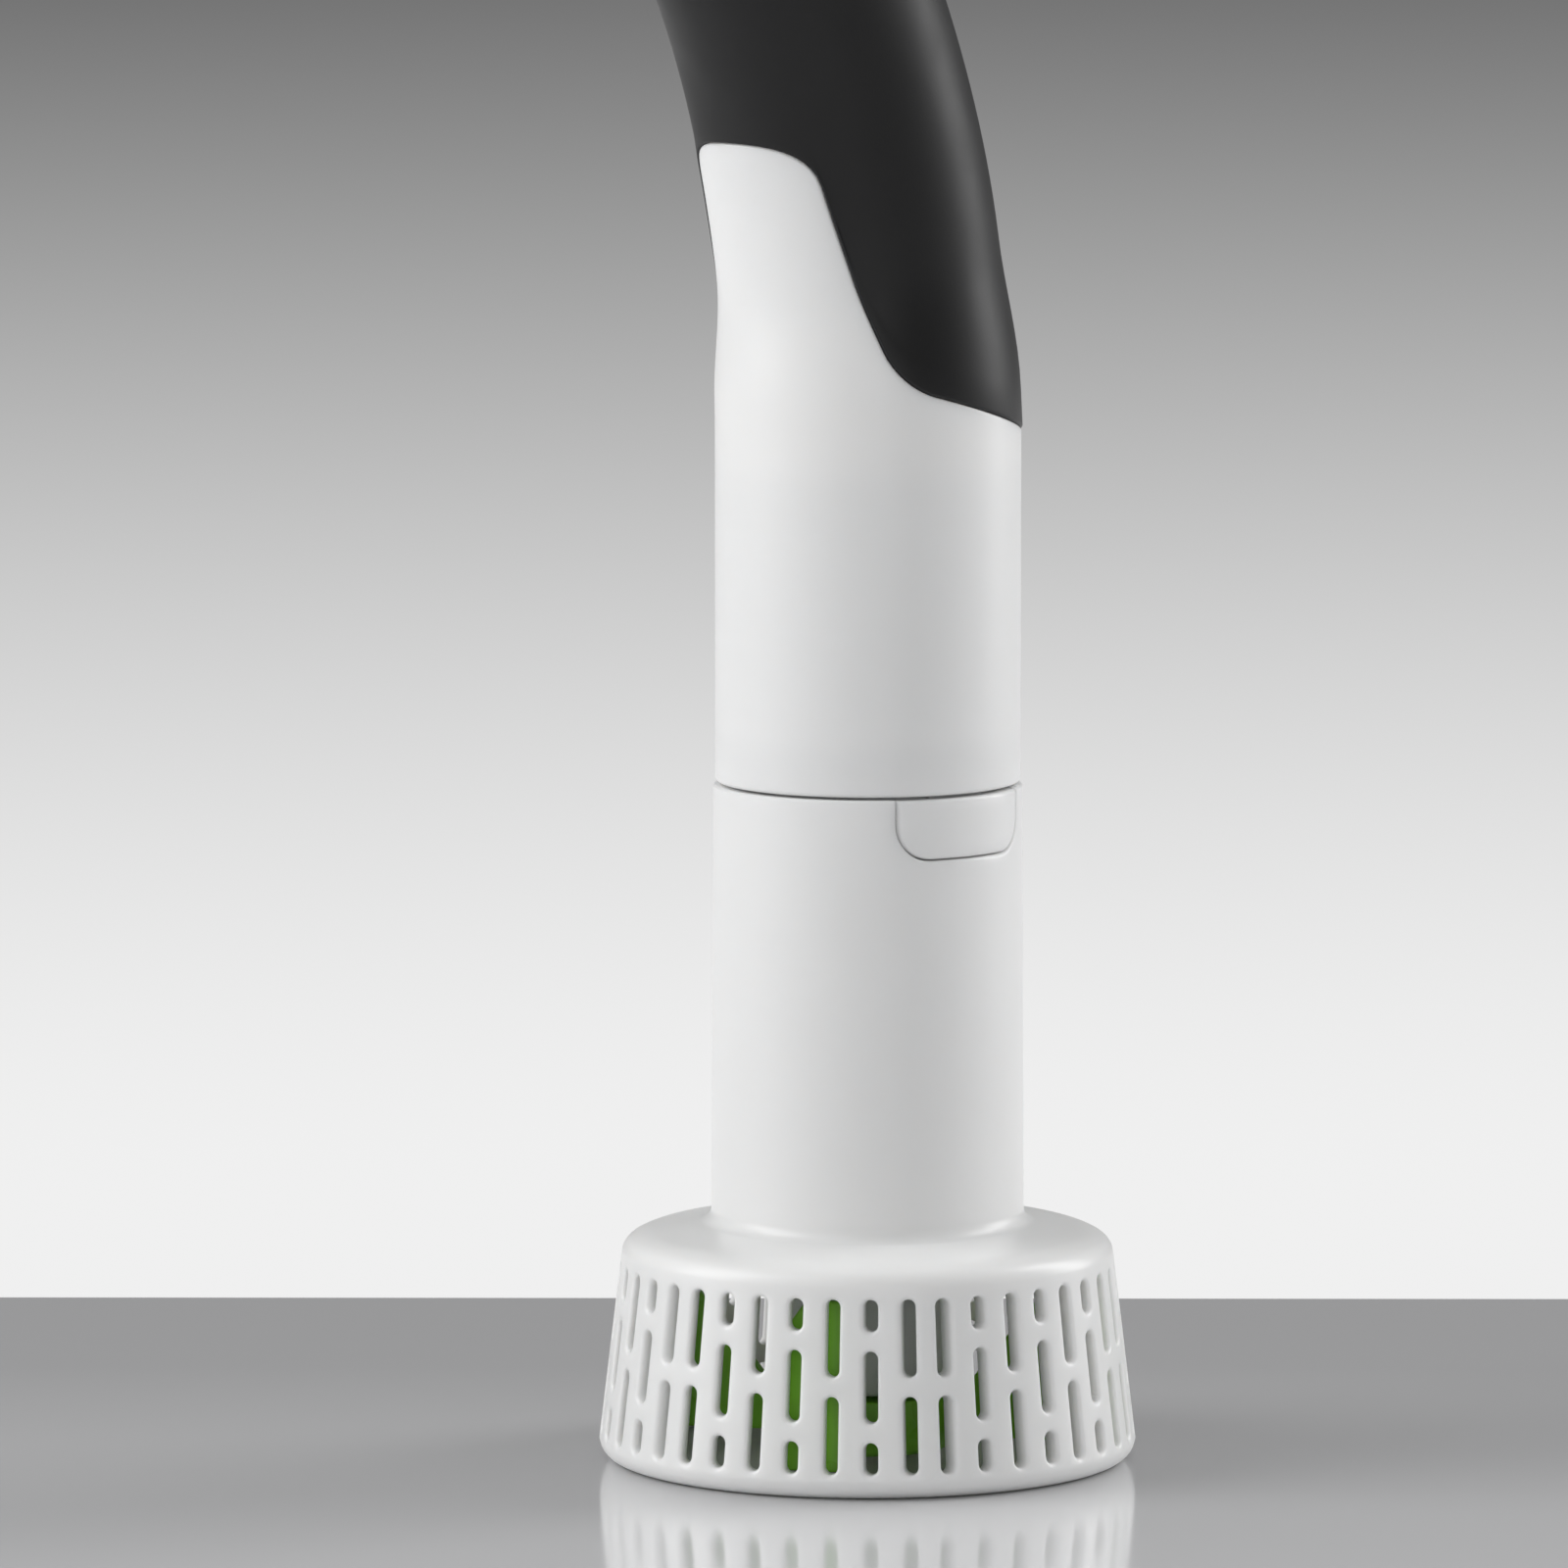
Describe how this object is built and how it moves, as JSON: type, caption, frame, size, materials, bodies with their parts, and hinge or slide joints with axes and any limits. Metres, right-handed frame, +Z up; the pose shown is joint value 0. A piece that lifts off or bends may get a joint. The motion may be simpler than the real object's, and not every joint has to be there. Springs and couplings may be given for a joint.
{
  "type": "electric potato masher",
  "caption": "Corded stick masher: a motor unit with a curved soft grip on a detachable tubular foot with a slotted cage and a turning rotor.",
  "frame": {"origin": "on the drive axis, in the plane that the cage's rim stands on", "axes": "+Z up along the drive axis; the handle leans towards -Y; the release tabs are at +X and -X"},
  "size_m": [0.0916, 0.1372, 0.3441],
  "materials": {
    "white_plastic": "satin moulded",
    "soft_grip": "soft touch",
    "green_plastic": "satin moulded",
    "dark_plastic": "fine texture",
    "black_rubber": "matt",
    "grey_plastic": "moulded",
    "steel": "ground",
    "brass": "turned",
    "ferrite": "sintered",
    "windings": "enamelled wire",
    "circuit_board": "solder mask",
    "film_yellow": "tape wrapped"
  },
  "bodies": {
    "foot": {"masher_foot": "white_plastic", "ring_gear": "grey_plastic", "gearbox_base": "grey_plastic", "gearbox_cover": "grey_plastic", "cover_screws": "steel", "output_bush": "brass", "shaft_bush": "brass", "shaft_seal": "black_rubber", "input_bush": "brass", "latch_pins": "steel", "latch_spring_right": "steel", "latch_spring_left": "steel"},
    "latch_right": {"release_latch_right": "white_plastic"},
    "latch_left": {"release_latch_left": "white_plastic"},
    "input_drive": {"input_shaft": "steel", "sun_gear": "steel"},
    "rotor": {"planet_carrier": "steel", "planet_pins": "steel", "output_shaft": "steel", "masher_rotor": "green_plastic", "rotor_screw": "steel"},
    "planet_1": {"planet_gear_1": "white_plastic"},
    "planet_2": {"planet_gear_2": "white_plastic"},
    "planet_3": {"planet_gear_3": "white_plastic"},
    "motor_unit": {"motor_housing": "white_plastic", "grip_sleeve": "soft_grip", "handle_core_left": "dark_plastic", "handle_core_right": "dark_plastic", "core_screws": "steel", "end_cap": "dark_plastic", "cord_inlet_bush": "black_rubber", "cord_clamp": "dark_plastic", "clamp_screws": "steel", "control_board": "circuit_board", "capacitor": "film_yellow", "micro_switch": "dark_plastic", "motor_can": "steel", "field_magnets": "ferrite", "motor_endbell": "dark_plastic", "brush_holders": "brass", "carbon_brushes": "ferrite", "motor_mount": "grey_plastic", "mount_screws": "steel", "front_bearing": "steel", "rear_bearing": "steel", "trigger_spring": "steel"},
    "motor_rotor": {"motor_shaft": "steel", "armature": "windings", "commutator": "brass", "cooling_fan": "white_plastic", "drive_coupling": "dark_plastic"},
    "trigger": {"trigger_button": "green_plastic"}
  },
  "joints": [
    {"name": "motor_lift", "type": "slide", "parent": "foot", "child": "motor_unit", "axis": [0, 0, 1], "range_m": [0, 0.05]},
    {"name": "motor_spin", "type": "hinge", "parent": "motor_unit", "child": "motor_rotor", "pos_m": [0, 0, 0.15], "axis": [0, 0, 1], "continuous": true},
    {"name": "input_spin", "type": "hinge", "parent": "foot", "child": "input_drive", "pos_m": [0, 0, 0.09], "axis": [0, 0, 1], "continuous": true},
    {"name": "rotor_spin", "type": "hinge", "parent": "foot", "child": "rotor", "pos_m": [0, 0, 0.04], "axis": [0, 0, 1], "continuous": true},
    {"name": "planet_1_spin", "type": "hinge", "parent": "rotor", "child": "planet_1", "pos_m": [0.01275, 0, 0.085], "axis": [0, 0, 1], "continuous": true},
    {"name": "planet_2_spin", "type": "hinge", "parent": "rotor", "child": "planet_2", "pos_m": [-0.00637, 0.01104, 0.085], "axis": [0, 0, 1], "continuous": true},
    {"name": "planet_3_spin", "type": "hinge", "parent": "rotor", "child": "planet_3", "pos_m": [-0.00637, -0.01104, 0.085], "axis": [0, 0, 1], "continuous": true},
    {"name": "latch_right_press", "type": "hinge", "parent": "foot", "child": "latch_right", "pos_m": [0.0207, 0, 0.101], "axis": [0, -1, 0], "range_deg": [0, 4], "stiffness_Nm_per_rad": 0.4, "springref_deg": -6.88, "deforming": ["latch_spring_right"]},
    {"name": "latch_left_press", "type": "hinge", "parent": "foot", "child": "latch_left", "pos_m": [-0.0207, 0, 0.101], "axis": [0, 1, 0], "range_deg": [0, 4], "stiffness_Nm_per_rad": 0.4, "springref_deg": -6.88, "deforming": ["latch_spring_left"]},
    {"name": "trigger_press", "type": "slide", "parent": "motor_unit", "child": "trigger", "axis": [0, 0.8192, 0.5736], "range_m": [0, 0.0024], "stiffness_N_per_m": 900, "springref_m": -0.002, "deforming": ["trigger_spring"]}
  ],
  "couplings": [
    {"joint": "input_spin", "follows": "motor_spin", "ratio": 1},
    {"joint": "rotor_spin", "follows": "motor_spin", "ratio": 0.2},
    {"joint": "planet_1_spin", "follows": "motor_spin", "ratio": -0.53333},
    {"joint": "planet_2_spin", "follows": "motor_spin", "ratio": -0.53333},
    {"joint": "planet_3_spin", "follows": "motor_spin", "ratio": -0.53333}
  ]
}
